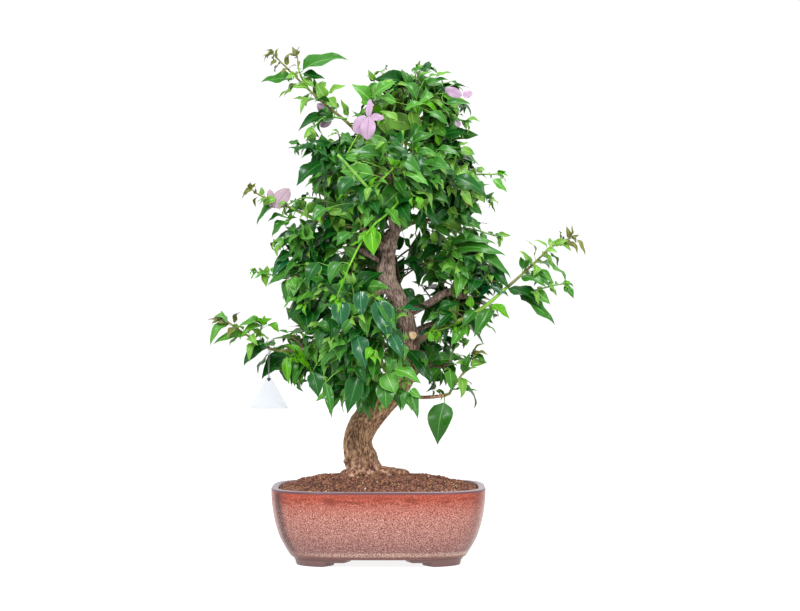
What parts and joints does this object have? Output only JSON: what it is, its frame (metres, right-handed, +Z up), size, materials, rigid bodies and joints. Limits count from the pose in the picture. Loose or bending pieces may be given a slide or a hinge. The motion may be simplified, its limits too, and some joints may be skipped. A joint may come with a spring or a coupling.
{
  "type": "potted bonsai tree",
  "caption": "Young bougainvillea bonsai with a crooked trunk, loose leafy boughs, a few lilac bracts and a white swing tag, in a speckled red glazed pot on stepped feet.",
  "frame": {"origin": "on the floor under the pot's feet, below the middle of the box round the whole plant; the pot's own middle is 23.5 mm to the left of it (-X)", "axes": "+Z up, +X to the right seen from the front, +Y away from the front; the pot's long side lies along X and the S of the trunk is seen from the front (-Y)"},
  "size_m": [0.4447, 0.2588, 0.6123],
  "materials": {
    "pot": "speckled salmon-red glaze over stoneware",
    "soil": "granular baked clay and bark",
    "bark": "fissured bark",
    "foliage": "glossy leaves on green and woody twigs, with a few lilac bracts",
    "card": "bare white card"
  },
  "bodies": {
    "root": {"bough_back": "bark", "bough_back_high": "bark", "bough_back_low": "bark", "bough_front": "bark", "bough_front_high": "bark", "bough_leader": "bark", "bough_left": "bark", "bough_left_low": "bark", "bough_left_shoot": "bark", "bough_low_front": "bark", "bough_low_left": "bark", "bough_low_right": "bark", "bough_low_side": "bark", "bough_right": "bark", "bough_right_high": "bark", "bough_right_low": "bark", "bough_right_shoot": "bark", "bough_sprig": "bark", "bough_upper_left": "bark", "bough_upper_right": "bark", "foliage_back": "foliage", "foliage_back_high": "foliage", "foliage_back_low": "foliage", "foliage_front": "foliage", "foliage_front_high": "foliage", "foliage_left": "foliage", "foliage_left_low": "foliage", "foliage_low_front": "foliage", "foliage_low_left": "foliage", "foliage_low_right": "foliage", "foliage_right": "foliage", "foliage_right_high": "foliage", "foliage_right_low": "foliage", "foliage_top": "foliage", "foliage_upper_left": "foliage", "foliage_upper_right": "foliage", "pot": "pot", "shoot_leader": "foliage", "shoot_left": "foliage", "shoot_low_right": "foliage", "shoot_right": "foliage", "shoot_sprig": "foliage", "soil": "soil", "swing_tag": "card", "trunk": "bark"}
  },
  "joints": []
}
